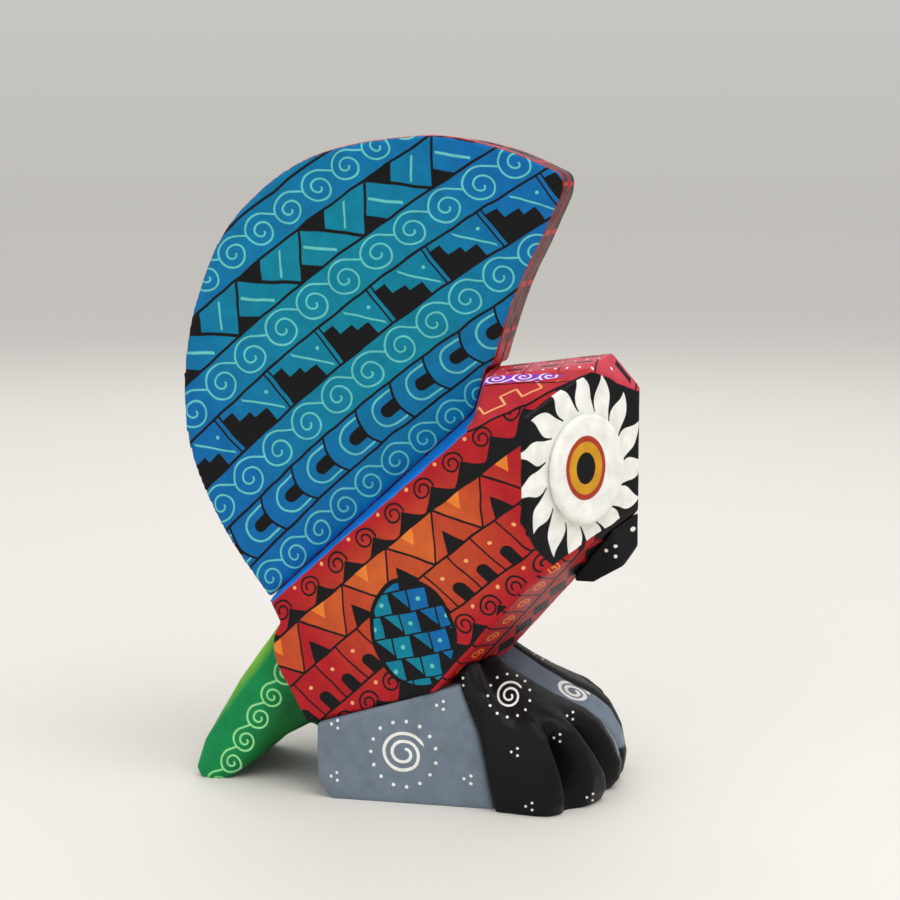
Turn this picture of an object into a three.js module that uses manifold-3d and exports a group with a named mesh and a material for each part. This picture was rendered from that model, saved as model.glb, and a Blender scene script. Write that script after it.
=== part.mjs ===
// Carved and painted wooden owl with raised wings, an alebrije in the Oaxacan manner.
// Millimetres. The owl faces -Y and stands on z = 0; its right side is -X, its left side +X.
// Side outlines are written as [forward, up] pairs, where forward runs towards the beak.
import * as THREE from 'three';
import { mergeVertices } from 'three/addons/utils/BufferGeometryUtils.js';
import Module from 'manifold-3d';

const wasm = await Module();
wasm.setup();

// ---- driving dimensions ----
const REACH = 400; // size of the blocks used as half spaces
const GLUE_GAP = 0.3; // clearance between two pieces that are glued together
const MID_GAP = 0.15; // half of the clearance on the plane of symmetry

const RIDGE_FORWARD = 42.5; // the vertical ridge between the two face planes
const CHEEK_FORWARD = 25; // where a face plane meets the side of the head
const CHEEK_HALF_WIDTH = 23.2;
const RUMP_FORWARD = -25.2;
const RUMP_HALF_WIDTH = 17.9;
const CREST_HEIGHT = 83.6;
const CREST_FORWARD = 35.8;

const WING_THICKNESS = 7.5;
const WING_FRONT_HALF = 6.2; // outer face of a wing at its top front corner
const WING_BACK_HALF = 23.4; // and at its rearmost point
const NECK_TOP = 81.6; // above this a wing stands clear of the head

const HAUNCH_INNER = 1.5;
const HAUNCH_OUTER = 20.9;
const HAUNCH_EDGE = 1.2; // rounding of the haunch edges
const HAUNCH_FRONT = [[9, 30], [13.6, 20], [16.2, 14], [19.4, -HAUNCH_EDGE]];

const TAIL_HALF_WIDTH = 13.5;
const TAIL_EDGE = 1.5;

const ANKLE_FORWARD = 10.2; // the point that the three toes of a foot fan out from
const ANKLE_SIDE = 8;
const FOOT_INNER = 0.8;
const FOOT_GAP = 0.4; // between the back of a foot and its haunch
const TOE_EDGE = 2.2;
const TOE_HEIGHT = 27;
const TOE_BACK = 14; // how far a toe runs back from the ankle, into the foot
const TOES = [
  { turn: 37, length: 23.5, width: 9.5 },
  { turn: 6.5, length: 27, width: 6.6 },
  { turn: -11.5, length: 30.2, width: 6.2 },
];

const BEAK_HALF_WIDTH = 5.8; // at the jaw; it narrows downwards
const BEAK_TIP_HALF_WIDTH = 3;
const EYE_HEIGHT = 63.3;
const EYE_HALF_WIDTH = 9.2; // the raised disc, across and up
const EYE_HALF_HEIGHT = 10.3;
const EYE_THICKNESS = 1.5;
const EYE_EDGE = 0.6;

const DOWEL_SIDES = 20;
const HOLE_GAP = 0.3; // between a dowel and its hole, all round
const END_GAP = 0.5; // between a dowel's end and the bottom of its hole

// ---- paints ----
const RED = 0xb5262b;
const BLUE = 0x0f74b4;
const GREEN = 0x178c3d;
const GREY = 0x76818b;
const BLACK = 0x1b1b1e;
const WHITE = 0xeeece6;
const BARE_WOOD = 0xd9bd8b;

// ---- geometry helpers ----
const at = (forward, side, up) => new THREE.Vector3(side, -forward, up);

function toSolid(geometry) {
  const bare = geometry.index ? geometry.toNonIndexed() : geometry.clone();
  for (const name of ['normal', 'uv']) bare.deleteAttribute(name);
  const merged = mergeVertices(bare, 1e-4);
  return new wasm.Manifold(new wasm.Mesh({
    numProp: 3,
    vertProperties: new Float32Array(merged.attributes.position.array),
    triVerts: new Uint32Array(merged.index.array),
  }));
}

function toMesh(name, solid, color) {
  const { numProp, vertProperties, triVerts } = solid.getMesh();
  const geometry = new THREE.BufferGeometry();
  geometry.setAttribute('position', new THREE.BufferAttribute(vertProperties, numProp));
  geometry.setIndex(new THREE.BufferAttribute(triVerts, 1));
  geometry.computeVertexNormals();
  const material = new THREE.MeshStandardMaterial({ color, roughness: 0.45, metalness: 0 });
  const mesh = new THREE.Mesh(geometry, material);
  mesh.name = name;
  return mesh;
}

// A closed outline of [forward, up] corners.
const outline = (corners) => new THREE.Shape(corners.map(([f, z]) => new THREE.Vector2(-f, z)));

// A side outline pushed sideways from x0 to x1, with its edges rounded if edge is given.
function sideSlab(shape, x0, x1, edge = 0) {
  const geometry = new THREE.ExtrudeGeometry(shape, {
    depth: x1 - x0 - 2 * edge,
    curveSegments: 12,
    bevelEnabled: edge > 0,
    bevelSize: edge,
    bevelThickness: edge,
    bevelOffset: -edge,
    bevelSegments: 3,
  });
  geometry.translate(0, 0, x0 + edge);
  const upright = new THREE.Matrix4().makeBasis(at(-1, 0, 0), at(0, 0, 1), at(0, 1, 0));
  return toSolid(geometry.applyMatrix4(upright));
}

// The same, on one side of the owl, from inner to outer mm away from the plane of symmetry.
function flankSlab(shape, side, inner, outer, edge = 0) {
  return side < 0 ? sideSlab(shape, -outer, -inner, edge) : sideSlab(shape, inner, outer, edge);
}

// The side of the plane through a, b and c on which the point inside lies, drawn back by gap.
function halfSpace(a, b, c, inside, gap = 0) {
  const plane = new THREE.Plane().setFromCoplanarPoints(a, b, c);
  if (plane.distanceToPoint(inside) > 0) plane.negate();
  const box = new THREE.BoxGeometry(REACH, REACH, REACH);
  box.translate(0, 0, -REACH / 2 - gap);
  const up = new THREE.Vector3(0, 0, 1);
  box.applyQuaternion(new THREE.Quaternion().setFromUnitVectors(up, plane.normal));
  const foot = plane.normal.clone().multiplyScalar(-plane.constant);
  box.translate(foot.x, foot.y, foot.z);
  return toSolid(box);
}

function rod(start, end, radius) {
  const axis = end.clone().sub(start);
  const geometry = new THREE.CylinderGeometry(radius, radius, axis.length(), DOWEL_SIDES);
  const up = new THREE.Vector3(0, 1, 0);
  geometry.applyQuaternion(new THREE.Quaternion().setFromUnitVectors(up, axis.normalize()));
  const middle = start.clone().add(end).multiplyScalar(0.5);
  geometry.translate(middle.x, middle.y, middle.z);
  return toSolid(geometry);
}

const overlapOf = (first, ...rest) => rest.reduce((left, right) => left.intersect(right), first);
const joined = (first, ...rest) => rest.reduce((left, right) => left.add(right), first);
const without = (first, ...rest) => rest.reduce((left, right) => left.subtract(right), first);

const SIDES = [
  { side: -1, label: 'right' },
  { side: 1, label: 'left' },
];
const WHOLE_SIDE = outline([[60, -5], [60, 150], [-60, 150], [-60, -5]]);
const HEART = at(0, 0, 55); // a point well inside the body block
const HIGH = at(-10, 12, 400); // points far above and far below everything
const LOW = at(0, 0, -400);

// ---- the planes that the block is carved to ----
const ground = halfSpace(at(0, 0, 0), at(1, 0, 0), at(0, 1, 0), HIGH);

const flankFace = (side) => halfSpace(
  at(CHEEK_FORWARD, side * CHEEK_HALF_WIDTH, 0),
  at(CHEEK_FORWARD, side * CHEEK_HALF_WIDTH, 50),
  at(RUMP_FORWARD, side * RUMP_HALF_WIDTH, 0),
  HEART,
);

const facePlane = (side, inside = HEART, gap = 0) => halfSpace(
  at(RIDGE_FORWARD, 0, 0),
  at(RIDGE_FORWARD, 0, 50),
  at(CHEEK_FORWARD, side * CHEEK_HALF_WIDTH, 0),
  inside,
  gap,
);

// The crown falls 1 in 10 from its crest to each side.
const crownPlane = (side) => halfSpace(
  at(CREST_FORWARD, 0, CREST_HEIGHT),
  at(16.9, 0, 81.1),
  at(CREST_FORWARD, side * 20, CREST_HEIGHT - 2),
  HEART,
);

const shoulderPlane = (side) => halfSpace(
  at(24.2, side * 21.5, 74.6),
  at(4.2, side * 21.5, 73.3),
  at(24.2, side * 11.5, 80.1),
  HEART,
);

const foreheadPlane = (side) => halfSpace(
  at(RIDGE_FORWARD, 0, 77.5),
  at(RIDGE_FORWARD - 5, 0, 83.5),
  at(RIDGE_FORWARD, side * 10, 72.5),
  HEART,
);

// The breast is a shallow keel that runs up from the feet to the beak.
const breastPlane = (side, inside, gap = 0) => halfSpace(
  at(0, 0, 5.62),
  at(30, 0, 39.88),
  at(0, side * 20, 12.7),
  inside,
  gap,
);

const underPlane = (inside, gap = 0) => halfSpace(
  at(0, 0, 19.45),
  at(30, 0, 29.29),
  at(0, 20, 19.45),
  inside,
  gap,
);

// The seat that a wing stands on, and the back of the neck that it leans against.
const seatPlane = (side, inside, gap = 0) => halfSpace(
  at(-25.1, side * 17.9, 37.1),
  at(14.9, side * 22.1, 72.2),
  at(10.8, side * 7.8, 71.4),
  inside,
  gap,
);

const napePlane = (side, inside, gap = 0) => halfSpace(
  at(11.7, side * 7.4, 70.5),
  at(14, side * 7.4, 78.6),
  at(15.2, side * 21.5, 72.5),
  inside,
  gap,
);

// ---- dowels: straight pegs in blind holes bored into both pieces ----
const DOWELS = [];

function addDowel(name, centre, axis, radius, halfLength) {
  const reach = axis.clone().normalize().multiplyScalar(halfLength);
  const beyond = axis.clone().normalize().multiplyScalar(halfLength + END_GAP);
  DOWELS.push({
    name,
    peg: rod(centre.clone().sub(reach), centre.clone().add(reach), radius),
    hole: rod(centre.clone().sub(beyond), centre.clone().add(beyond), radius + HOLE_GAP),
  });
}

const bored = (solid) => without(solid, ...DOWELS.map((dowel) => dowel.hole));

for (const { side, label } of SIDES) {
  const wingAxis = at(-0.66, side * 0.25, 0.71);
  addDowel(`${label}_wing_dowel_rear`, at(-14, side * 9.6, 46), wingAxis, 1.5, 7);
  addDowel(`${label}_wing_dowel_front`, at(4, side * 5.4, 63.5), wingAxis, 1.5, 7);
  addDowel(`${label}_tail_dowel`, at(-20.6, side * 6.5, 23), at(-0.95, 0, -0.32), 2, 7);
  const haunchAxis = at(-0.31, 0, 0.95);
  addDowel(`${label}_haunch_dowel_rear`, at(-7, side * 11, 17.1), haunchAxis, 2, 6);
  addDowel(`${label}_haunch_dowel_front`, at(5, side * 11, 21), haunchAxis, 2, 6);
  addDowel(`${label}_foot_dowel`, at(17.6, side * 10, 9), at(1, 0, -0.12), 2, 5.5);
}
addDowel('beak_dowel', at(35.4, 0, 46.8), at(-0.75, 0, 0.66), 1.2, 3.4);

// ---- body: rump, breast, neck and head in one block ----
function bodyOutline() {
  const shape = outline([
    [60, 100],
    [RUMP_FORWARD - 1, 100],
    [RUMP_FORWARD, 36.8],
    [-23.1, 32.9],
    [-24.6, 30],
  ]);
  shape.bezierCurveTo(25.2, 27, 23.6, 23.6, 22.2, 21.6);
  shape.lineTo(17.6, 13.6);
  shape.lineTo(17.6, 0);
  shape.lineTo(-60, 0);
  return shape;
}

// Where the tail's root sits against the rump.
const tailSeat = (inside, gap = 0) => halfSpace(
  at(-23.6, 0, 33),
  at(-17.2, 0, 13.2),
  at(-23.6, 10, 33),
  inside,
  gap,
);

function makeBody() {
  const block = overlapOf(
    sideSlab(bodyOutline(), -30, 30),
    underPlane(HIGH),
    ...SIDES.flatMap(({ side }) => [
      flankFace(side),
      facePlane(side),
      crownPlane(side),
      shoulderPlane(side),
      foreheadPlane(side),
      breastPlane(side, HIGH),
    ]),
  );
  const wingSeats = SIDES.map(({ side }) => overlapOf(
    flankSlab(WHOLE_SIDE, side, 0, 60),
    seatPlane(side, HIGH),
    napePlane(side, at(-60, 0, 90)),
  ));
  const tailNotch = sideSlab(
    outline([[-17, 12], [-23.6, 33], [-40, 33], [-40, 12]]),
    -TAIL_HALF_WIDTH - GLUE_GAP,
    TAIL_HALF_WIDTH + GLUE_GAP,
  );
  return bored(without(block, ...wingSeats, tailNotch));
}

// ---- wings: flaring slabs that meet along their front edge ----
function wingOutline() {
  const shape = outline([
    [20, 60],
    [-18, 30],
    [-25.7, 36.8],
  ]);
  const rim = [
    [-33.6, 50.4],
    [-38.9, 65.1],
    [-39.7, 79.4],
    [-36.8, 94.6],
    [-29.7, 109.3],
    [-15.9, 120.4],
    [3.5, 124.3],
    [16.7, 122.3],
    [27.6, 117.9],
  ];
  shape.splineThru(rim.map(([f, z]) => new THREE.Vector2(-f, z)));
  shape.quadraticCurveTo(-29.4, 117, -28.3, 113.4);
  shape.splineThru([[24.6, 105.2], [19.8, 94.8], [15.3, 80.6]]
    .map(([f, z]) => new THREE.Vector2(-f, z)));
  return shape;
}

// The outer face leans outwards towards the tail; the inner face is parallel to it.
const wingFace = (side, inset, inside) => halfSpace(
  at(28.5, side * (WING_FRONT_HALF - inset), 117),
  at(15.3, side * (WING_FRONT_HALF + 0.9 - inset), 80.6),
  at(-39.7, side * (WING_BACK_HALF - inset), 79.4),
  inside,
);

function makeWing(side) {
  const overHead = halfSpace(at(0, 0, NECK_TOP), at(1, 0, NECK_TOP), at(0, 1, NECK_TOP), HIGH);
  return bored(overlapOf(
    flankSlab(wingOutline(), side, MID_GAP, 40),
    wingFace(side, 0, at(0, 0, 80)),
    wingFace(side, WING_THICKNESS, at(0, side * 60, 80)),
    seatPlane(side, HIGH, GLUE_GAP),
    joined(napePlane(side, at(-60, 0, 90), GLUE_GAP), overHead),
  ));
}

// ---- tail: a wide wedge that reaches down to the ground ----
function makeTail() {
  const shape = outline([
    [-10, 36],
    [-10, 8],
    [-19, 12.2],
    [-24.2, 9.4],
    [-29.4, 4.7],
    [-35.2, 0.4],
    [-38, -TAIL_EDGE],
    [-41, -TAIL_EDGE],
    [-42.5, 1.8],
    [-40.7, 7.4],
    [-33.3, 19.9],
    [-24.4, 32.3],
  ]);
  const slab = sideSlab(shape, -TAIL_HALF_WIDTH, TAIL_HALF_WIDTH, TAIL_EDGE);
  return bored(overlapOf(slab, ground, tailSeat(at(-60, 0, 10), GLUE_GAP)));
}

// ---- legs ----
function makeHaunch(side) {
  const shape = outline([
    [-12, -HAUNCH_EDGE],
    [-15.4, 3.2],
    [-15.4, 30],
    ...HAUNCH_FRONT,
  ]);
  return bored(overlapOf(
    flankSlab(shape, side, HAUNCH_INNER, HAUNCH_OUTER, HAUNCH_EDGE),
    ground,
    underPlane(LOW, GLUE_GAP),
  ));
}

// One toe, from the ankle to its tip: a slab whose top arches down to a blunt end, with its
// edges rounded over. It runs on below the ground, which cuts it; length is measured along it.
function toe(side, { turn, length, width }) {
  const shape = outline([
    [-TOE_BACK, -TOE_HEIGHT],
    [-TOE_BACK, TOE_HEIGHT + 6],
    [0, TOE_HEIGHT + 1],
  ]);
  shape.quadraticCurveTo(-0.72 * length, 0.76 * TOE_HEIGHT, -0.96 * length, 0.33 * TOE_HEIGHT);
  shape.quadraticCurveTo(-1.04 * length, 0.1 * TOE_HEIGHT, -0.97 * length, -TOE_HEIGHT);
  const geometry = new THREE.ExtrudeGeometry(shape, {
    depth: width - 2 * TOE_EDGE,
    curveSegments: 6,
    bevelEnabled: true,
    bevelSize: TOE_EDGE,
    bevelThickness: TOE_EDGE,
    bevelOffset: -TOE_EDGE,
    bevelSegments: 3,
  });
  geometry.translate(0, 0, TOE_EDGE - width / 2);
  const upright = new THREE.Matrix4().makeBasis(at(-1, 0, 0), at(0, 0, 1), at(0, 1, 0));
  geometry.applyMatrix4(upright);
  geometry.rotateZ(side * THREE.MathUtils.degToRad(turn));
  geometry.translate(side * ANKLE_SIDE, -ANKLE_FORWARD, 0);
  return toSolid(geometry);
}

function makeFoot(side) {
  const ankle = flankSlab(
    outline([[9, -2], [9, 40], [14, 40], [22.5, 14], [24, -2]]),
    side,
    HAUNCH_INNER,
    HAUNCH_OUTER,
    TOE_EDGE / 2,
  );
  const haunchFront = HAUNCH_FRONT.map(([forward, up]) => [forward + FOOT_GAP, up]);
  const behind = sideSlab(outline([[-40, -4], [-40, 60], [-3, 60], ...haunchFront]), -40, 40);
  const bodyAbove = overlapOf(underPlane(HIGH, -GLUE_GAP), breastPlane(side, HIGH, -GLUE_GAP));
  const paw = joined(ankle, ...TOES.map((shape) => toe(side, shape)));
  const half = overlapOf(paw, ground, flankSlab(WHOLE_SIDE, side, FOOT_INNER, 60));
  return bored(without(half, behind, bodyAbove));
}

// ---- beak: a small hooked wedge under the front of the head ----
function makeBeak() {
  const shape = outline([
    [31, 40.5],
    [34.5, 40.5],
    [40.2, 43.9],
    [RIDGE_FORWARD, 47.3],
    [RIDGE_FORWARD, 58],
    [31, 58],
  ]);
  const cheek = (side) => halfSpace(
    at(30, side * BEAK_HALF_WIDTH, 52),
    at(40, side * BEAK_HALF_WIDTH, 52),
    at(30, side * BEAK_TIP_HALF_WIDTH, 40.5),
    at(36, 0, 46),
  );
  const wedge = overlapOf(
    sideSlab(shape, -BEAK_HALF_WIDTH, BEAK_HALF_WIDTH),
    ...SIDES.flatMap(({ side }) => [facePlane(side), cheek(side)]),
  );
  const jaw = overlapOf(...SIDES.map(({ side }) => breastPlane(side, HIGH, -GLUE_GAP)));
  return bored(without(wedge, jaw));
}

// ---- eyes: raised oval discs glued to the face planes ----
function makeEye(side) {
  const rim = new THREE.Shape();
  rim.absellipse(0, 0, EYE_HALF_WIDTH, EYE_HALF_HEIGHT, 0, 2 * Math.PI);
  const geometry = new THREE.ExtrudeGeometry(rim, {
    depth: EYE_THICKNESS - 2 * EYE_EDGE,
    curveSegments: 16,
    bevelEnabled: true,
    bevelSize: EYE_EDGE,
    bevelThickness: EYE_EDGE,
    bevelOffset: -EYE_EDGE,
    bevelSegments: 3,
  });
  geometry.translate(0, 0, EYE_EDGE + GLUE_GAP);
  const across = at(CHEEK_FORWARD - RIDGE_FORWARD, side * CHEEK_HALF_WIDTH, 0).normalize();
  across.multiplyScalar(side);
  const up = at(0, 0, 1);
  const outward = across.clone().cross(up);
  geometry.applyMatrix4(new THREE.Matrix4().makeBasis(across, up, outward));
  const middle = at((CHEEK_FORWARD + RIDGE_FORWARD) / 2, side * CHEEK_HALF_WIDTH / 2, EYE_HEIGHT);
  geometry.translate(middle.x, middle.y, middle.z);
  return toSolid(geometry);
}

// ---- the assembly ----
const group = new THREE.Group();
group.name = 'painted_owl';
group.add(toMesh('body', makeBody(), RED));
group.add(toMesh('tail', makeTail(), GREEN));
group.add(toMesh('beak', makeBeak(), BLACK));
for (const { side, label } of SIDES) {
  group.add(toMesh(`${label}_wing`, makeWing(side), BLUE));
  group.add(toMesh(`${label}_haunch`, makeHaunch(side), GREY));
  group.add(toMesh(`${label}_foot`, makeFoot(side), BLACK));
  group.add(toMesh(`${label}_eye`, makeEye(side), WHITE));
}
for (const { name, peg } of DOWELS) group.add(toMesh(name, peg, BARE_WOOD));

export default group;
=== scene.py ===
import math

import bmesh
import bpy
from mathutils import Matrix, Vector, noise


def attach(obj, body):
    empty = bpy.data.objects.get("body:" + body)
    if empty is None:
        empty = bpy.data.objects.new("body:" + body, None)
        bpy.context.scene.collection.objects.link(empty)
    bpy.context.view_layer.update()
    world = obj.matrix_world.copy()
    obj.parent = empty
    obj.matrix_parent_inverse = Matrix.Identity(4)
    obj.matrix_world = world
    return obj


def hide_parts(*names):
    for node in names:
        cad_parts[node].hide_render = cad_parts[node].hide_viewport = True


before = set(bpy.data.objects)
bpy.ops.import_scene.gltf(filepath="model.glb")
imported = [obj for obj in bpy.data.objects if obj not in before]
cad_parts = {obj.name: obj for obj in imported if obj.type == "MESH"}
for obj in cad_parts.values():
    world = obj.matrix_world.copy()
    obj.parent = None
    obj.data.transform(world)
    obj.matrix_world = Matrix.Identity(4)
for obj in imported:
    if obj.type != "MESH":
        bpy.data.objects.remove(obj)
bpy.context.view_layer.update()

MM = 0.001
TURN = 2 * math.pi
SLANT = math.radians(37)  # the painted bands climb towards the beak at this angle
BAND_MIDDLE = 57  # where along them the bands lie lowest
WING_BOW, BODY_BOW = 0.0016, 0.0008

# Planes of the body in mm: height at the origin, rise per mm forward and per mm outward.
UNDERSIDE = (19.45, 0.328, 0)
BREAST = (5.62, 1.142, 0.354)
SEAT = (63.27, 0.8987, -0.2017)
CROWN = (78.874, 0.132, -0.1)
FOREHEAD = (128.5, -1.2, -0.5)


# ---- numbers that vary over a surface, as chains of Math nodes ----
class Num:
    """One number of the surface; Python's operators on it add Math nodes to the material."""

    def __init__(self, socket):
        self.socket = socket

    def __add__(self, other):
        return calc("ADD", self, other)

    def __sub__(self, other):
        return calc("SUBTRACT", self, other)

    def __mul__(self, other):
        return calc("MULTIPLY", self, other)

    def __truediv__(self, other):
        return calc("DIVIDE", self, other)

    def __radd__(self, other):
        return calc("ADD", other, self)

    def __rsub__(self, other):
        return calc("SUBTRACT", other, self)

    def __rmul__(self, other):
        return calc("MULTIPLY", other, self)

    def __abs__(self):
        return calc("ABSOLUTE", self)

    def __neg__(self):
        return calc("MULTIPLY", self, -1)


def calc(operation, *values, clamp=False):
    """Adds one Math node to the material that the first Num belongs to."""
    tree = next(v for v in values if isinstance(v, Num)).socket.id_data
    node = tree.nodes.new("ShaderNodeMath")
    node.operation = operation
    node.use_clamp = clamp
    for socket, value in zip(node.inputs, values):
        if isinstance(value, Num):
            tree.links.new(value.socket, socket)
        else:
            socket.default_value = value
    return Num(node.outputs[0])


def floor(a):
    return calc("FLOOR", a)


def fract(a):
    return calc("FRACT", a)


def least(a, *others):
    for b in others:
        a = calc("MINIMUM", a, b)
    return a


def most(a, *others):
    for b in others:
        a = calc("MAXIMUM", a, b)
    return a


def power(a, exponent):
    return calc("POWER", a, exponent)


def distance(x, y):
    return calc("SQRT", calc("MULTIPLY_ADD", x, x, y * y))


def direction(x, y):
    """The angle of (x, y) in turns, -0.5 to 0.5, from the x axis towards the y axis."""
    return calc("ARCTAN2", y, x) / TURN


def repeat(a, period):
    """a, folded to run from -period / 2 to period / 2 about each multiple of the period."""
    return (fract(a / period + 0.5) - 0.5) * period


def ink(gap, half, soft=0.09):
    """1 where gap is under half, with an edge as soft as a brush leaves, in mm."""
    return calc("MULTIPLY_ADD", gap, -1 / soft, 0.5 + half / soft, clamp=True)


def past(a, edge, soft=0.09):
    """1 where a is over edge."""
    return calc("MULTIPLY_ADD", a, 1 / soft, 0.5 - edge / soft, clamp=True)


def within(a, low, high, soft=0.09):
    """1 where a is between low and high."""
    return ink(abs(a - (low + high) / 2), (high - low) / 2, soft)


def bell(a, middle, half):
    """1 at the middle, falling to 0 at half from it."""
    return calc("SUBTRACT", 1, power(abs(a - middle) / half, 2), clamp=True)


# ---- paint ----
def tint(red, green, blue):
    """A paint colour from its 0 to 255 values, as the shader's linear colour."""
    parts = [c / 255 for c in (red, green, blue)]
    linear = [c / 12.92 if c <= 0.04045 else ((c + 0.055) / 1.055) ** 2.4 for c in parts]
    return (*linear, 1)


BLACK = tint(16, 15, 17)
WHITE = tint(236, 236, 230)
CREAM = tint(236, 170, 110)
SKY = tint(100, 192, 186)
BLUE = tint(4, 100, 162)
# Blue lightened as a painted highlight, for the chamfer and ledge at the wing's foot that face up
# into the light
PAINTED_HIGHLIGHT_BLUE = tint(10, 112, 205)
TEAL = tint(3, 124, 148)
RED = tint(172, 26, 34)
PINK_RED = tint(196, 62, 78)
SHOULDER_RED = tint(180, 44, 50)
ORANGE = tint(192, 80, 40)
LIGHT_ORANGE = tint(232, 128, 48)
OCHRE = tint(206, 148, 34)
IRIS_RED = tint(168, 58, 42)
PURPLE = tint(150, 62, 190)
GREY = tint(112, 124, 136)
GREEN = tint(14, 134, 74)
# Green darkened as painted shade, for the underside of the tail
PAINTED_SHADE_GREEN = tint(8, 86, 34)
# Green lightened to lime as a painted highlight, for the top of the tail where the light falls
PAINTED_HIGHLIGHT_LIME = tint(150, 205, 40)
MINT = tint(150, 225, 150)
WOOD = tint(214, 182, 130)


DARKEST, TONE_RANGE = 0.72, 0.56  # the paint's tone varies from the darkest over this range
GLOSS_RANGE = 0.24
SHEEN = 0.14
STROKE_DEPTH = 0.25 * MM


class Surface:
    """A painted surface: its coordinates in mm, and the coats of paint laid on it so far.

    Unsteady is how far, in mm, the hand that drew the lines strays from them.
    """

    def __init__(self, name, unsteady=0.22):
        self.material = bpy.data.materials.new(name)
        self.material.use_nodes = True
        self.tree = self.material.node_tree
        self.tree.nodes.clear()
        coordinates = self.tree.nodes.new("ShaderNodeTexCoord")
        self.place = self.scaled(coordinates.outputs["Object"], 1 / MM)
        self.colour = None
        shaky = self.added(self.place, self.grain(per_mm=0.16, detail=1, strength=unsteady))
        x, y, z = self.split(shaky)
        self.forward = -y
        self.side = abs(x)
        self.up = z

    def scaled(self, socket, factor):
        node = self.tree.nodes.new("ShaderNodeVectorMath")
        node.operation = "SCALE"
        self.tree.links.new(socket, node.inputs[0])
        node.inputs["Scale"].default_value = factor
        return node.outputs[0]

    def added(self, first, second):
        node = self.tree.nodes.new("ShaderNodeVectorMath")
        node.operation = "ADD"
        self.tree.links.new(first, node.inputs[0])
        self.tree.links.new(second, node.inputs[1])
        return node.outputs[0]

    def split(self, socket):
        node = self.tree.nodes.new("ShaderNodeSeparateXYZ")
        self.tree.links.new(socket, node.inputs[0])
        return [Num(out) for out in node.outputs]

    def noise(self, per_mm, detail=2):
        node = self.tree.nodes.new("ShaderNodeTexNoise")
        node.inputs["Scale"].default_value = per_mm
        node.inputs["Detail"].default_value = detail
        self.tree.links.new(self.place, node.inputs["Vector"])
        return node

    def grain(self, per_mm, detail, strength):
        """A vector of noise about zero, of that strength in mm."""
        node = self.tree.nodes.new("ShaderNodeVectorMath")
        node.operation = "SUBTRACT"
        self.tree.links.new(self.noise(per_mm, detail).outputs["Color"], node.inputs[0])
        node.inputs[1].default_value = (0.5, 0.5, 0.5)
        return self.scaled(node.outputs[0], 4 * strength)

    def lay(self, colour, where=1.0):
        """Lays a coat of colour where the mask is 1."""
        if self.colour is None:
            self.colour = self.constant(colour)
            return
        node = self.tree.nodes.new("ShaderNodeMix")
        node.data_type = "RGBA"
        self.connect(where, node.inputs[0])
        self.connect(self.colour, node.inputs[6])
        self.connect(colour, node.inputs[7])
        self.colour = node.outputs[2]

    def constant(self, colour):
        node = self.tree.nodes.new("ShaderNodeRGB")
        node.outputs[0].default_value = colour
        return node.outputs[0]

    def connect(self, value, socket):
        if isinstance(value, Num):
            value = value.socket
        if isinstance(value, bpy.types.NodeSocket):
            self.tree.links.new(value, socket)
        else:
            socket.default_value = value

    def finish(self, roughness=0.42, bump=0.3):
        """Brushed variation of tone, a faint sheen and the relief of brush and knife."""
        mottle = Num(self.noise(0.35, 4).outputs[0])
        tone = self.tree.nodes.new("ShaderNodeHueSaturation")
        self.connect(self.colour, tone.inputs["Color"])
        self.connect(DARKEST + mottle * TONE_RANGE, tone.inputs["Value"])
        shader = self.tree.nodes.new("ShaderNodeBsdfPrincipled")
        self.connect(tone.outputs[0], shader.inputs["Base Color"])
        dullness = roughness - GLOSS_RANGE / 2 + mottle * GLOSS_RANGE
        self.connect(dullness, shader.inputs["Roughness"])
        shader.inputs["Specular IOR Level"].default_value = SHEEN
        strokes = self.noise(1.6, 3)
        relief = self.tree.nodes.new("ShaderNodeBump")
        relief.inputs["Strength"].default_value = bump
        relief.inputs["Distance"].default_value = STROKE_DEPTH
        self.connect(strokes.outputs[0], relief.inputs["Height"])
        self.connect(relief.outputs[0], shader.inputs["Normal"])
        output = self.tree.nodes.new("ShaderNodeOutputMaterial")
        self.connect(shader.outputs[0], output.inputs[0])
        return self.material


def band_axes(forward, up):
    """Coordinates along and across the painted bands."""
    cos, sin = math.cos(SLANT), math.sin(SLANT)
    return forward * cos + up * sin, up * cos - forward * sin


def bowed(u, w, bow):
    """The coordinate across bands that bow down between their ends."""
    return w + power(u - BAND_MIDDLE, 2) * bow


def over(plane, f, side, up):
    """How far a point is above a plane of the carving."""
    height, forward_rise, outward_rise = plane
    return up - height - f * forward_rise - side * outward_rise


# ---- motifs: a line is a gap in mm from where it is drawn, dots are a mask ----
ENDING = 9  # how steeply the gap grows past the end of a line


def spiral(x, y, radius, pitch, turns, start=-0.25):
    """A spiral that winds inwards anticlockwise from the radius, at the start angle in turns."""
    r = distance(x, y)
    turn = fract(direction(x, y) - start)
    arms = (radius - r) / pitch - turn
    lap = floor(arms + 0.5)
    wound = lap + turn
    beyond = most(wound - turns, -wound, 0.0)
    return abs(arms - lap) * pitch + beyond * ENDING


def running_scroll(unit, y, period, radius=3.6):
    """A running scroll; unit runs from -0.5 to 0.5 about each spiral's middle."""
    curl = spiral(unit * period, y, radius, radius * 0.49, 1.8, start=0.147)
    x = fract(unit) * period
    swing = abs((x - radius * 0.6) * 0.62 + (y - radius * 0.8) * 0.785)
    beyond = most(radius * 0.6 - x, x - period + radius * 0.78, 0.0)
    return least(curl, swing + beyond * ENDING)


def capsule(x, y, length):
    """Distance from a stroke that runs from the origin towards -x."""
    return distance(most(-x - length, x, 0.0), y)


def ring_of_dots(x, y, radius, count, dot):
    """A mask of dots spaced evenly round a ring."""
    step = fract(direction(x, y) * count) - 0.5
    arc = step * (TURN * radius / count)
    return ink(distance(arc, distance(x, y) - radius), dot)


def row_of_dots(x, y, period, dot):
    """A mask of dots spaced evenly along the x axis."""
    return ink(distance(repeat(x, period), y), dot)


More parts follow.
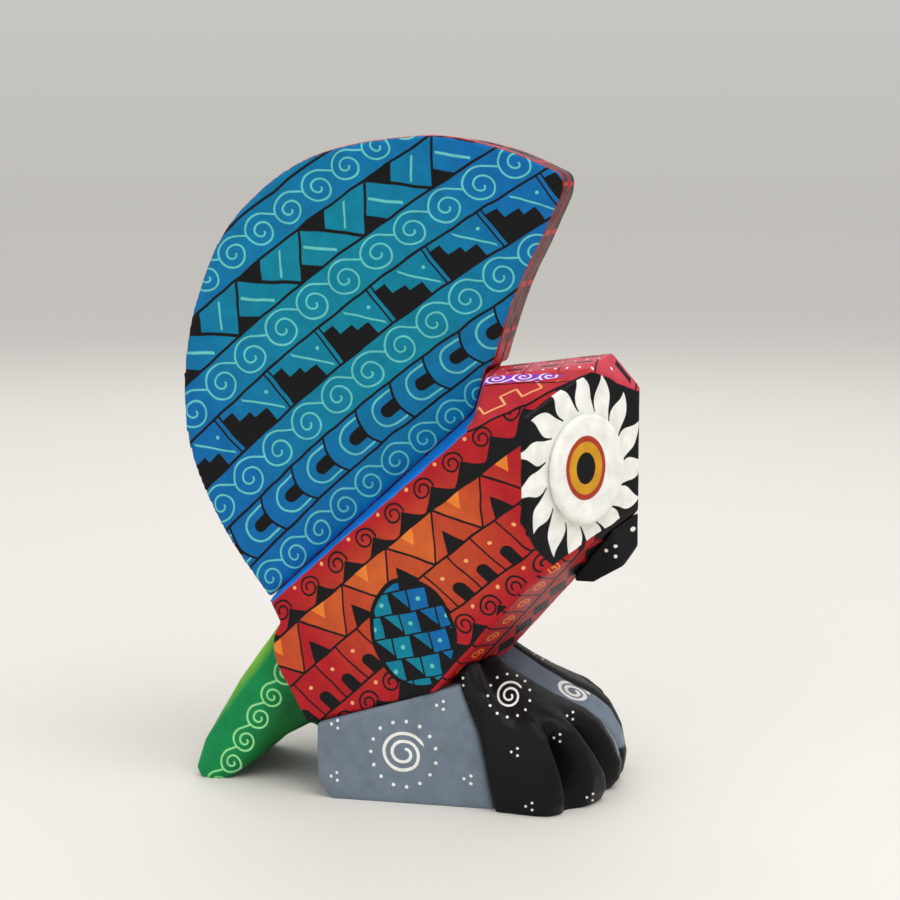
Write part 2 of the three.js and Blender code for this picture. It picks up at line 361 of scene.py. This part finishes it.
# ---- wing ----
BAND = 8.0  # width of one painted band
WING_EDGE = 48.9  # where the lowest band starts, across the bands
OUTER_PERIOD, INNER_PERIOD = 6.5, 7.45  # pitch of the scrolls in the outer and inner bands
SCROLL_START, LOWEST_SHIFT = 0.67, 0.18  # in periods; the shift is the lowest band's own


def wing_material():
    wing = Surface("wing_paint")
    u, w = band_axes(wing.forward, wing.up)
    level = (bowed(u, w, WING_BOW) - WING_EDGE) / BAND
    index = floor(level)
    y = (level - index - 0.5) * BAND
    wing.lay(BLUE)
    wing.lay(TEAL, bell(u, 48, 34) * (0.45 + 0.55 * within(index, 1.5, 5.5, 1)))
    # Painted highlight: a lighter blue strip along the wing's lower edge, where its chamfer faces
    # up into the light
    wing.lay(PAINTED_HIGHLIGHT_BLUE, within(index, -1, 0.5) * ink(abs(y + 3.6), 0.5, 0.8))
    lay_ribbons(wing, u, y, within(index, 4.5, 5.5))
    lay_frets(wing, u, y, within(index, 2.5, 3.5))
    lay_arches(wing, u, y, within(index, 0.5, 1.5))

    odd = fract(index / 2) * 2
    scrolls = ink(odd, 0.5) * ink(index, 6.5)
    period = OUTER_PERIOD + (INNER_PERIOD - OUTER_PERIOD) * within(index, 1, 5)
    unit = fract(u / period + SCROLL_START + ink(index, 0.5) * LOWEST_SHIFT) - 0.5
    gap = running_scroll(unit, y + 0.3, period, period * 0.49)
    wing.lay(SKY, ink(gap, 0.17, 0.14) * scrolls)
    divider = ink(abs(abs(y) - BAND / 2), 0.24) * past(level, 0.5)
    wing.lay(BLACK, divider)
    lay_wing_edge(wing)
    return wing.finish()


def lay_ribbons(wing, u, y, here):
    """A folded ribbon: upright and level lengths in turn, black in the corners."""
    period, share = 14.7, 0.38  # share of the ribbon's length that stands upright
    to_fold, to_seam = 6.9, 11.5  # turn fractions into mm from a fold and from a seam
    height = (y + BAND / 2) / BAND
    s = fract((u - 29.2 - 0.75 * BAND * height) / period)
    fold = 1 - s
    upright = past(s, share, 0.02)
    above = past(height - fold, 0, 0.02)
    corner = above * (1 - upright)
    low_corner = past(0.36 - s - height, 0, 0.02)
    wing.lay(BLACK, most(corner, low_corner) * here)
    fold_line = abs(height - fold) * to_fold
    seam = least(s, 1 - s) * to_seam
    side = abs(s - share) * to_seam + (1 - above) * ENDING
    wing.lay(BLACK, ink(least(fold_line, seam, side), 0.22) * here)
    upright_pale = most(
        abs(s - 0.7) * to_seam,
        (fold + 0.1 - height) * BAND,
        (height - 0.86) * BAND,
    )
    level_pale = most(
        abs(height - fold + 0.33) * to_fold,
        (0.06 - s) * period,
        (s - 0.56) * period,
    )
    wing.lay(SKY, ink(least(upright_pale, level_pale), 0.17, 0.14) * here)


def lay_frets(wing, u, y, here):
    """Stepped black triangles between pairs of cross lines."""
    period = 12.3
    x = fract((u - 28.3) / period) * period
    height = y + BAND / 2
    stair = 6.7 - past(x, 2.9) * 2.2 - past(x, 5.7) * 1.4 - past(x, 8.4) * 4
    wing.lay(BLACK, past(stair - height, 0) * past(x, 0.4) * here)
    cross = least(x, period - x)
    wing.lay(BLACK, ink(abs(cross - 0.5), 0.17) * here)
    pale = most(abs(x * 0.78 + height * 0.63 - 9.15), 6.1 - x, x - 10.8)
    wing.lay(SKY, ink(pale, 0.17, 0.14) * here)
    wing.lay(SKY, ink(distance(x - 10.2, height - 5.2), 0.34) * here)


def lay_arches(wing, u, y, here):
    """Nested arches that open towards the beak, like the vanes of a feather."""
    period = 8.0
    x = fract((u - 4.8) / period) * period - period
    rib = x + 1.4 - y * y * 0.0875
    lobe = capsule(x + 1.4, y, 2.1)
    wing.lay(SKY, ink(abs(lobe - 2.85), 0.19, 0.14) * ink(rib, 0) * here)
    wing.lay(BLACK, ink(lobe, 1.25) * ink(rib, 0) * here)
    wing.lay(BLACK, ink(least(abs(rib), abs(rib + period), abs(rib - period)), 0.24) * here)


def lay_wing_edge(wing):
    """Red on the sawn edge of the wing, with ragged black blocks on its upper part."""
    coordinates = wing.tree.nodes.new("ShaderNodeTexCoord")
    outward = abs(wing.split(coordinates.outputs["Normal"])[0])
    rim = ink(outward, 0.62, 0.16)
    wing.lay(RED, rim)
    ragged = Num(wing.noise(0.45, 2).outputs[0]) * 3.4 - 1.7
    blocks = past(abs(repeat(wing.up * 0.9 - wing.forward * 0.5, 6.4)), 0.35)
    middle = within(wing.side + ragged * 0.5, 1.2, 5.6, 0.2)
    wing.lay(BLACK, rim * blocks * middle * past(wing.up + ragged * 2, 86, 1))


# ---- body ----
def lay_lobes(body, x, y, period, here, base):
    """Small curls with a black wave between their feet; y is up from the curls' middles."""
    unit = repeat(x, period)
    peak = calc("SUBTRACT", 1, abs(repeat(x - 1.6, period)) / (period / 2), clamp=True)
    wave = power(peak, 1.35) * (base - 0.5)
    body.lay(BLACK, past(wave - base - y, 0) * here)
    curl = spiral(unit, y, 2.2, 1.05, 1.6, start=-0.05)
    body.lay(BLACK, ink(curl, 0.2) * here)
    body.lay(CREAM, row_of_dots(x + 2.7, y - 1.9, period, 0.36) * here)


FIRST_LINE, SECOND_LINE, THIRD_LINE = 40.6, 32.3, 23.6  # between the bands of the body


def body_material():
    body = Surface("body_paint")
    f, side, up = body.forward, body.side, body.up
    u, w = band_axes(f, up)
    level = bowed(u, w, BODY_BOW)
    body.lay(RED)
    body.lay(ORANGE, bell(u, 29, 24) * bell(level, 33, 13) * 0.9)

    seat = w - 44.5 - u * 0.0755  # this edge climbs a little more steeply than the bands
    first = past(level, FIRST_LINE)
    lay_lobes(body, u - 10.4, seat + 3.0, 7.5, first, 3.8)
    lay_zigzag(body, u, level - SECOND_LINE, within(level, SECOND_LINE, FIRST_LINE))
    lay_doors(body, u, level - THIRD_LINE, within(level, THIRD_LINE, SECOND_LINE))
    fourth = ink(level, THIRD_LINE)
    lay_lobes(body, u - 0.9, level - 20.3, 6.2, fourth, 3.2)
    for line in (FIRST_LINE, SECOND_LINE, THIRD_LINE):
        body.lay(BLACK, ink(abs(level - line), 0.22))
    ledge = over(SEAT, f, side, up)
    # The seat ledge under the wing is blue paint, made lighter as a painted highlight where it
    # faces up into the light
    body.lay(PAINTED_HIGHLIGHT_BLUE, past(ledge, -0.55, 0.15) * ink(f, 15))
    lay_oval(body, f, up)
    lay_face(body, f, side, up)
    lay_breast(body, f, side, up)
    lay_shoulder(body, f, side, up)
    lay_crown(body, f, side, up)
    return body.finish()


def lay_zigzag(body, u, y, here):
    """A black zigzag line with a black tooth in each upward fold and an orange one above."""
    period, height = 11.6, 8.3
    s = fract((u - 10.9) / period) * period
    fold = least(s / 5.3, (period - s) / 6.3) * height
    body.lay(LIGHT_ORANGE, past(y - fold, 0) * here * ink(u, 50, 16) * 0.3)
    body.lay(BLACK, ink(abs(y - fold) * 0.57, 0.2) * here)
    body.lay(BLACK, past(least((s - 2.9) * 2.3, (7.4 - s) * 1.6) - y, 0) * here)
    t = fract((u - 16.2) / period) * period
    hanging = least((t - 3.3) * 1.9, (6.7 - t) * 1.6) - height + y
    body.lay(LIGHT_ORANGE, past(hanging, 0) * here)


def lay_doors(body, u, y, here):
    """Bricks, each with a round-topped black door and a cream dot."""
    period = 5.8
    x = repeat(u + y * 0.25 - 1.2, period)
    body.lay(BLACK, ink(period / 2 - abs(x), 0.18) * here)
    door = distance(x, most(y - 2.6, 0.0))
    body.lay(BLACK, ink(door, 1.25) * here)
    body.lay(CREAM, ink(distance(x + 0.9, y - 5.9), 0.38) * here)


def lay_oval(body, f, up):
    """A tilted oval on the flank, chequered in teal, blue and black."""
    tilt = math.radians(15)
    width, height = 3.7, 4.2
    df, dz = f - 3.6, up - 32.6
    across = df * math.cos(tilt) + dz * math.sin(tilt)
    along = dz * math.cos(tilt) - df * math.sin(tilt)
    rim = distance(across / 8.0, along / 10.3)
    inside = ink(rim, 1.0, 0.012)
    body.lay(BLUE, inside)
    body.lay(TEAL, inside * ink(across + along * 0.4, 1, 4))
    row = along / height
    column = across / width + 0.5 + floor(row) * 0.28
    odd = fract((floor(column) + floor(row)) / 2) * 2
    x, y = fract(column), fract(row)
    wedge = past(1.15 - x - y, 0, 0.03)
    body.lay(BLACK, inside * odd * wedge)
    lines = least(least(x, 1 - x) * width, least(y, 1 - y) * height)
    body.lay(BLACK, inside * ink(lines, 0.17))
    dot = ink(distance((x - 0.5) * width, (y - 0.5) * height), 0.42)
    body.lay(SKY, inside * dot * (1 - odd))
    body.lay(BLACK, ink(abs(rim - 1.0), 0.045, 0.012))


def lay_breast(body, f, side, up):
    """The two planes of the breast: squares with little curls, and diamonds by the keel."""
    here = ink(over(BREAST, f, side, up), 0.8, 0.2)
    body.lay(RED, here)
    v = (f + up) * math.sqrt(0.5)
    x = repeat(v, 4.4)
    curl = spiral(x, (side - 17.3) * 0.5, 1.25, 0.62, 1.5)
    body.lay(LIGHT_ORANGE, ink(curl, 0.16) * here)
    body.lay(BLACK, ink(2.2 - abs(x), 0.2) * here * past(side, 12))
    body.lay(BLACK, within(side, 11, 12.4) * here)
    inner = abs(repeat(v, 5)) * 1.6
    body.lay(BLACK, past(inner - abs(side - 5), 0) * here * ink(side, 9))
    body.lay(BLACK, ink(abs(side - 9), 0.2) * here)
    body.lay(BLACK, past(f + side * 0.3, 38.5, 0.3) * here)


def lay_shoulder(body, f, side, up):
    """The slope from the crown to the side of the head, above a line that rises from the wing."""
    u, w = band_axes(f, up)
    line = w + u * 0.2 - 59.0
    head = past(f, 14, 0.3) * past(up, 68, 0.5)
    here = past(line, 0) * head
    body.lay(SHOULDER_RED, here)
    body.lay(BLACK, ink(abs(line), 0.2) * head)
    ahead, outward = f - 16, side - 21.5  # from the corner where the stair begins
    along = ahead * 0.81 - outward * 0.58
    across = outward * 0.81 + ahead * 0.58
    stair = repeat(along - 6.6, 7.4)
    flat = ink(abs(across - 0.8 + ink(abs(stair), 1.6, 0.25) * 2.6), 0.2)
    riser = ink(abs(abs(stair) - 1.6), 0.2) * within(across, -1.9, 0.9)
    body.lay(CREAM, most(flat, riser) * here * past(side, 13))
    body.lay(BLACK, ink(abs(side - 13.4), 0.15) * here)
    middle = 11.6
    band = ink(abs(side - middle) + most(f - 25, 0.0) * 0.25, 1.35) * here
    body.lay(PURPLE, band)
    unit = fract(f / 5) - 0.5
    gap = running_scroll(unit, (side - middle) * 1.6, 5.0, 2.3)
    body.lay(WHITE, ink(gap, 0.2) * band)


def lay_crown(body, f, side, up):
    """The top of the head, with black bricks and white dots."""
    crown = past(over(CROWN, f, side, up), -0.6, 0.15) * ink(side, 10.8, 0.3)
    here = most(crown, past(over(FOREHEAD, f, side, up), -0.5, 0.15))
    body.lay(PINK_RED, here)
    width, length = 2.6, 6.6
    row = floor(side / width)
    x = repeat(f + row * length / 2, length)
    y = fract(side / width) - 0.5
    block = ink(abs(x), 1.5) * ink(abs(y), 0.27, 0.03) * (1 - fract(row / 2) * 2)
    body.lay(BLACK, block * here)
    body.lay(BLACK, ink(abs(repeat(f, length) - 2.4), 0.12) * here)
    dots = ink(distance(repeat(f + row * 1.4, 2.3), (y - 0.1) * width), 0.26)
    body.lay(WHITE, dots * fract(row / 2) * 2 * here)


FACE = Vector((0.798, 0.602))  # outward direction of a face plane, forward and sideways
FACE_DEPTH = 33.93
EYE_FORWARD, EYE_SIDE, EYE_UP = 33.75, 11.6, 63.3
EYE_HALF_WIDTH, EYE_HALF_HEIGHT = 9.2, 10.3
RAYS = 15
FLAME, FACE_END = 0.74, 1.86  # in eyes: the length of a ray, and where the black stops


def eye_axes(f, side, up):
    """Coordinates on a face plane about the eye: towards the beak, and up."""
    ahead = (f - EYE_FORWARD) * FACE[1] - (side - EYE_SIDE) * FACE[0]
    return ahead, up - EYE_UP


def lay_face(body, f, side, up):
    """Black face planes with a white sun whose rays lick round like flames."""
    here = past(f * FACE[0] + side * FACE[1], FACE_DEPTH - 0.55, 0.15)
    x, y = eye_axes(f, side, up)
    nx, ny = x / EYE_HALF_WIDTH, y / EYE_HALF_HEIGHT
    r = distance(nx, ny)
    here = here * most(ink(r, FACE_END, 0.03), past(x, 1.0))
    body.lay(BLACK, here)
    reach = (r - 1.0) / FLAME
    bend = reach * 0.042 + calc("SINE", reach * 6.0) * 0.007
    ray = abs(fract((direction(nx, ny) - bend) * RAYS) - 0.5)
    taper = calc("SUBTRACT", 1, power(most(reach, 0.0), 2.3), clamp=True)
    flame = past(taper * 0.475 - ray, 0.015, 0.025)
    body.lay(WHITE, most(flame, ink(r, 1.05, 0.02)) * here)


# ---- eyes ----
def eye_material():
    eye = Surface("eye_paint", unsteady=0.1)
    x, y = eye_axes(eye.forward, eye.side, eye.up)
    x, y = x + 1.1, y - 0.4  # the iris sits a little up and to the rear of the disc's middle
    eye.lay(WHITE)
    for half_width, half_height, colour in (
        (5.0, 6.0, IRIS_RED),
        (4.15, 4.9, OCHRE),
        (2.4, 2.95, BLACK),
    ):
        eye.lay(colour, ink(distance(x / half_width, y / half_height), 1.0, 0.03))
    return eye.finish(roughness=0.5, bump=0.2)


# ---- beak, haunches, feet, tail ----
def beak_material():
    beak = Surface("beak_paint")
    beak.lay(BLACK)
    beak.lay(WHITE, ring_of_dots(beak.forward - 38.2, beak.up - 46.7, 1.1, 3, 0.34))
    beak.lay(WHITE, ink(distance(beak.forward - 41.6, beak.up - 50.6), 0.42))
    return beak.finish()


def sun_spiral(paint, x, y, radius, count, dot):
    """A white spiral with a ring of dots round it."""
    curl = spiral(x, y, radius, radius * 0.36, 2.1, start=0.1)
    paint.lay(WHITE, ink(curl, 0.3))
    paint.lay(WHITE, ring_of_dots(x, y, radius * 1.48, count, dot))


def haunch_material():
    haunch = Surface("haunch_paint")
    f, up = haunch.forward, haunch.up
    haunch.lay(GREY)
    sun_spiral(haunch, f - 1.6, up - 9.6, 4.3, 15, 0.34)
    for x, y in ((-11.5, 14.5), (-11.6, 4.3), (14.2, 5.5), (8.8, 19.4)):
        haunch.lay(WHITE, ring_of_dots(f - x, up - y, 0.85, 3, 0.3))
    return haunch.finish(roughness=0.5)


def foot_material():
    foot = Surface("foot_paint", unsteady=0.1)
    f, side, up = foot.forward, foot.side, foot.up
    foot.lay(BLACK)
    inner = ink(side + (f - 28) * 0.06, 5.6, 0.3) * past(up, 7, 0.5)
    foot.lay(GREY, inner)
    curl = spiral((f - 29.8) * 0.7, (side - 3.8) * 1.1, 2.3, 0.85, 2.1, start=0.1)
    foot.lay(WHITE, ink(curl, 0.27) * inner)
    ahead, outward = f - 21.2, side - 17.5  # from the middle of the spiral on the outer toe
    x = ahead * 0.979 - outward * 0.203
    y = (up - 21.1) * 0.968 - outward * 0.244 - ahead * 0.05
    curl = spiral(x, y, 2.6, 1.1, 2.0, start=0.1)
    outer = past(side, 7, 0.5)
    foot.lay(WHITE, ink(curl, 0.2) * outer)
    foot.lay(WHITE, ring_of_dots(x, y, 4.0, 13, 0.25) * outer)
    for dx, dy in (
        (-9.0, 2.4),
        (1.0, -10.4),
        (9.0, -7.8),
        (11.6, -3.7),
        (3.7, -20.3),
        (15.2, -18.8),
    ):
        foot.lay(WHITE, ring_of_dots(x - dx, y - dy, 0.75, 3, 0.24) * outer)
    return foot.finish()


TAIL_END = 42.5  # how far the tail reaches behind the origin


def tail_material():
    tail = Surface("tail_paint")
    f, up = tail.forward, tail.up
    ahead = f + TAIL_END
    along = ahead * 0.53 + up * 0.85
    across = up * 0.53 - ahead * 0.85
    tail.lay(GREEN)
    # Painted shade: darker green on the tail's underside, turned away from the light
    tail.lay(PAINTED_SHADE_GREEN, ink(across, -6.0, 5))
    # Painted highlight: lime along the top of the tail, where the light from above falls
    tail.lay(PAINTED_HIGHLIGHT_LIME, past(across + along * 0.1, 4.4, 3.0))
    unit = fract(along / 5.4 + 0.2) - 0.5
    gap = running_scroll(unit, across + 4.6, 5.4, 2.6)
    tail.lay(MINT, ink(gap, 0.2, 0.14))
    return tail.finish()


def dowel_material():
    """Bare wood with a faint grain."""
    dowel = Surface("dowel_wood")
    dowel.lay(WOOD)
    rings = dowel.tree.nodes.new("ShaderNodeTexWave")
    rings.inputs["Scale"].default_value = 1.4
    rings.inputs["Distortion"].default_value = 3
    dowel.tree.links.new(dowel.place, rings.inputs["Vector"])
    dowel.lay(tint(176, 134, 82), Num(rings.outputs[1]) * 0.5)
    return dowel.finish(roughness=0.7)


# ---- carving ----
ANKLE_FORWARD, ANKLE_SIDE = 10.2, 8.0  # the axis that the toes of a foot fan out from
FOOT_INNER = 1.0  # how near a foot comes to the plane of symmetry
FOOT_HEIGHT = 26.5
FOOT_GAP, HAUNCH_GAP = 0.3, 0.5  # from a foot to the body above it and the haunch behind it
# Reach of a foot from the ankle, against the angle outwards from straight ahead.
FOOT_REACH = (
    (-180, 9),
    (-100, 12),
    (-60, 22),
    (-30, 30),
    (-11, 30.6),
    (12, 28.5),
    (38, 26.4),
    (49, 21),
    (62, 16.4),
    (90, 13.4),
    (180, 9),
)
# Half of a foot's section, as fractions of the reach against heights.
FOOT_SECTION = (
    (0, 34),
    (0.1, 30),
    (0.22, 25.6),
    (0.39, 22.4),
    (0.58, 19.4),
    (0.78, 16.9),
    (0.88, 14.6),
    (0.96, 10.5),
    (1, 6),
    (0.985, 2.5),
    (0.93, 0),
    (0, 0),
)
# The front face of the haunch behind the foot, as height against how far forward it is.
HAUNCH_FRONT = ((-1, 19.3), (14, 16.2), (20, 13.6), (30, 9), (50, 0))
# Each groove between two toes: its angle where it starts and at the floor.
GROOVES = ((30, 24.5), (13, -4))
STEEPER = 0.5  # how much taller the dome is towards its sides
INNER_SLOPE = 0.75  # how it falls towards the plane of symmetry
GROOVE_DEPTH = 0.3  # as a fraction of the reach
GROOVE_HALF_WIDTH = 7.5  # in degrees
SECTION_STEPS = 6  # corners between two listed points of the section
TURN_STEPS = 240  # sections round the ankle


def ramp(a, start, end):
    """0 up to start, 1 from end on, and even in between."""
    return min(max((a - start) / (end - start), 0), 1)


def between(points, where):
    """The height at where of the line through the points."""
    for (x0, y0), (x1, y1) in zip(points, points[1:]):
        if where <= x1:
            return y0 + (y1 - y0) * (where - x0) / (x1 - x0)
    return points[-1][1]


def foot_corner(angle, part, height):
    """A point of a foot's surface, forward, outward and up.

    Angle is in degrees outwards from straight ahead, about the ankle. Part is the
    fraction of the foot's reach at that angle.
    """
    steep = ramp(angle, 45, 75) if angle > -90 else 1
    height *= 1 + STEEPER * steep
    reach = between(FOOT_REACH, angle) * part
    fall = 1 - height / FOOT_HEIGHT
    for start, end in GROOVES:
        off = abs(angle - start - (end - start) * ramp(fall, 0.35, 1))
        depth = ramp(fall, 0.3, 0.6) * (1 - 0.8 * ramp(fall, 0.72, 1))
        reach *= 1 - GROOVE_DEPTH * depth * max(1 - off / GROOVE_HALF_WIDTH, 0)
    f = ANKLE_FORWARD + reach * math.cos(math.radians(angle))
    side = ANKLE_SIDE + reach * math.sin(math.radians(angle))
    height -= INNER_SLOPE * min(max(7 - side, 0), 6) * height / 28
    planes = [z + rise * f + outward * side for z, rise, outward in (UNDERSIDE, BREAST)]
    height = min(height, max(planes) - FOOT_GAP)
    return max(f, between(HAUNCH_FRONT, height) + HAUNCH_GAP), max(side, FOOT_INNER), height


def foot_blank(name, sign):
    """The dome of one foot, with grooves between its three toes."""
    blank = bmesh.new()
    spots = []
    for start, end in zip(FOOT_SECTION, FOOT_SECTION[1:]):
        for i in range(SECTION_STEPS):
            spots.append([a + (b - a) * i / SECTION_STEPS for a, b in zip(start, end)])
    spots.append(FOOT_SECTION[-1])
    sections = []
    for step in range(TURN_STEPS + 1):
        angle = step * 360 / TURN_STEPS - 180
        corners = [foot_corner(angle, *spot) for spot in spots]
        sections.append([blank.verts.new((sign * s * MM, -f * MM, z * MM)) for f, s, z in corners])
    for left, right in zip(sections, sections[1:]):
        for a, b, c, d in zip(left, right, right[1:], left[1:]):
            blank.faces.new((a, b, c, d))
    mesh = bpy.data.meshes.new(name)
    blank.to_mesh(mesh)
    blank.free()
    return mesh


SWELL = 0.12 * MM  # makes good what the smoothing takes off
BROAD_MARK, FINE_MARK = 5 * MM, 1.8 * MM  # sizes of the knife marks


def carved(node, material, voxel, rounding, knife=0.05, blank_mesh=None):
    """A CAD node, or a blank in its place, with edges rounded over and faint knife marks."""
    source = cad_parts[node]
    blank = bpy.data.objects.new(node + "_blank", blank_mesh or source.data.copy())
    bpy.context.scene.collection.objects.link(blank)
    welded = bmesh.new()
    welded.from_mesh(blank.data)
    bmesh.ops.remove_doubles(welded, verts=welded.verts, dist=1e-6)
    bmesh.ops.recalc_face_normals(welded, faces=welded.faces)
    welded.to_mesh(blank.data)
    welded.free()
    remesh = blank.modifiers.new("remesh", "REMESH")
    remesh.mode = "VOXEL"
    remesh.voxel_size = voxel * MM
    smooth = blank.modifiers.new("smooth", "SMOOTH")
    smooth.factor = 0.5
    smooth.iterations = rounding
    evaluated = blank.evaluated_get(bpy.context.evaluated_depsgraph_get())
    mesh = bpy.data.meshes.new_from_object(evaluated)
    bpy.data.objects.remove(blank)
    mesh.materials.clear()
    mesh.materials.append(material)
    normals = [v.normal.copy() for v in mesh.vertices]
    for vertex, normal in zip(mesh.vertices, normals):
        marks = noise.noise(vertex.co / BROAD_MARK) + 0.5 * noise.noise(vertex.co / FINE_MARK)
        vertex.co += normal * (SWELL + knife * MM * marks)
    mesh.polygons.foreach_set("use_smooth", [True] * len(mesh.polygons))
    piece = bpy.data.objects.new("painted_" + node, mesh)
    bpy.context.scene.collection.objects.link(piece)
    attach(piece, "root")
    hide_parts(node)
    return piece


def dress_owl():
    carved("body", body_material(), 0.45, 3)
    carved("tail", tail_material(), 0.45, 6)
    carved("beak", beak_material(), 0.3, 5)
    wing, haunch, foot, eye = wing_material(), haunch_material(), foot_material(), eye_material()
    for label, sign in (("right", -1), ("left", 1)):
        carved(f"{label}_wing", wing, 0.45, 3)
        carved(f"{label}_haunch", haunch, 0.45, 5)
        paw = foot_blank(f"{label}_paw", sign)
        carved(f"{label}_foot", foot, 0.4, 6, blank_mesh=paw)
        carved(f"{label}_eye", eye, 0.3, 14, knife=0.03)
    bare = dowel_material()
    for name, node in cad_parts.items():
        if "dowel" in name:
            node.data.materials.clear()
            node.data.materials.append(bare)


# ---- studio ----
HORIZON, ZENITH = (0.74, 0.72, 0.68, 1), (0.95, 0.95, 0.97, 1)
FADE_END = 0.35  # the direction's upward part where the horizon's colour has faded out
SKY_STRENGTH = 0.72
PAPER = (0.78, 0.75, 0.69, 1)
LIT_POINT = Vector((0, 0, 0.05))


def studio():
    """A pale floor and backdrop, and three soft lamps."""
    scene = bpy.context.scene
    scene.view_settings.view_transform = "Standard"
    world = bpy.data.worlds.new("studio")
    world.use_nodes = True
    nodes, links = world.node_tree.nodes, world.node_tree.links
    sky = nodes["Background"]
    sky.inputs[1].default_value = SKY_STRENGTH
    spot = nodes.new("ShaderNodeTexCoord")
    split = nodes.new("ShaderNodeSeparateXYZ")
    fade = nodes.new("ShaderNodeMapRange")
    fade.inputs["From Max"].default_value = FADE_END
    blend = nodes.new("ShaderNodeMix")
    blend.data_type = "RGBA"
    blend.inputs[6].default_value = HORIZON
    blend.inputs[7].default_value = ZENITH
    for start, end in (
        (spot.outputs["Generated"], split.inputs[0]),
        (split.outputs[2], fade.inputs[0]),
        (fade.outputs[0], blend.inputs[0]),
        (blend.outputs[2], sky.inputs[0]),
    ):
        links.new(start, end)
    scene.world = world

    bpy.ops.mesh.primitive_plane_add(size=12)
    floor_plane = bpy.context.object
    floor_plane.name = "floor"
    paper = bpy.data.materials.new("floor_paper")
    paper.use_nodes = True
    shader = paper.node_tree.nodes["Principled BSDF"]
    shader.inputs["Base Color"].default_value = PAPER
    shader.inputs["Roughness"].default_value = 0.75
    floor_plane.data.materials.append(paper)

    for name, place, size, watts in (
        ("key", (-0.25, -0.35, 0.75), 0.6, 3.6),
        ("fill", (-0.75, 0.35, 0.35), 0.7, 1.4),
        ("far", (0.6, 0.2, 0.7), 0.6, 1.6),
    ):
        light = bpy.data.lights.new(name, "AREA")
        light.size = size
        light.energy = watts
        lamp = bpy.data.objects.new(name, light)
        lamp.location = place
        aim = LIT_POINT - Vector(place)
        lamp.rotation_euler = aim.to_track_quat("-Z", "Y").to_euler()
        scene.collection.objects.link(lamp)


def camera():
    """The photograph's view: from the owl's right, a little forward and above."""
    lens = bpy.data.cameras.new("camera")
    lens.lens = 80
    lens.sensor_width = 36
    lens.clip_start = 0.01
    eye = bpy.data.objects.new("camera", lens)
    eye.location = (-0.3745, -0.0922, 0.1137)
    target = Vector((-0.0188, -0.0101, 0.0670))
    eye.rotation_euler = (target - eye.location).to_track_quat("-Z", "Y").to_euler()
    bpy.context.scene.collection.objects.link(eye)
    bpy.context.scene.camera = eye


dress_owl()
studio()
camera()
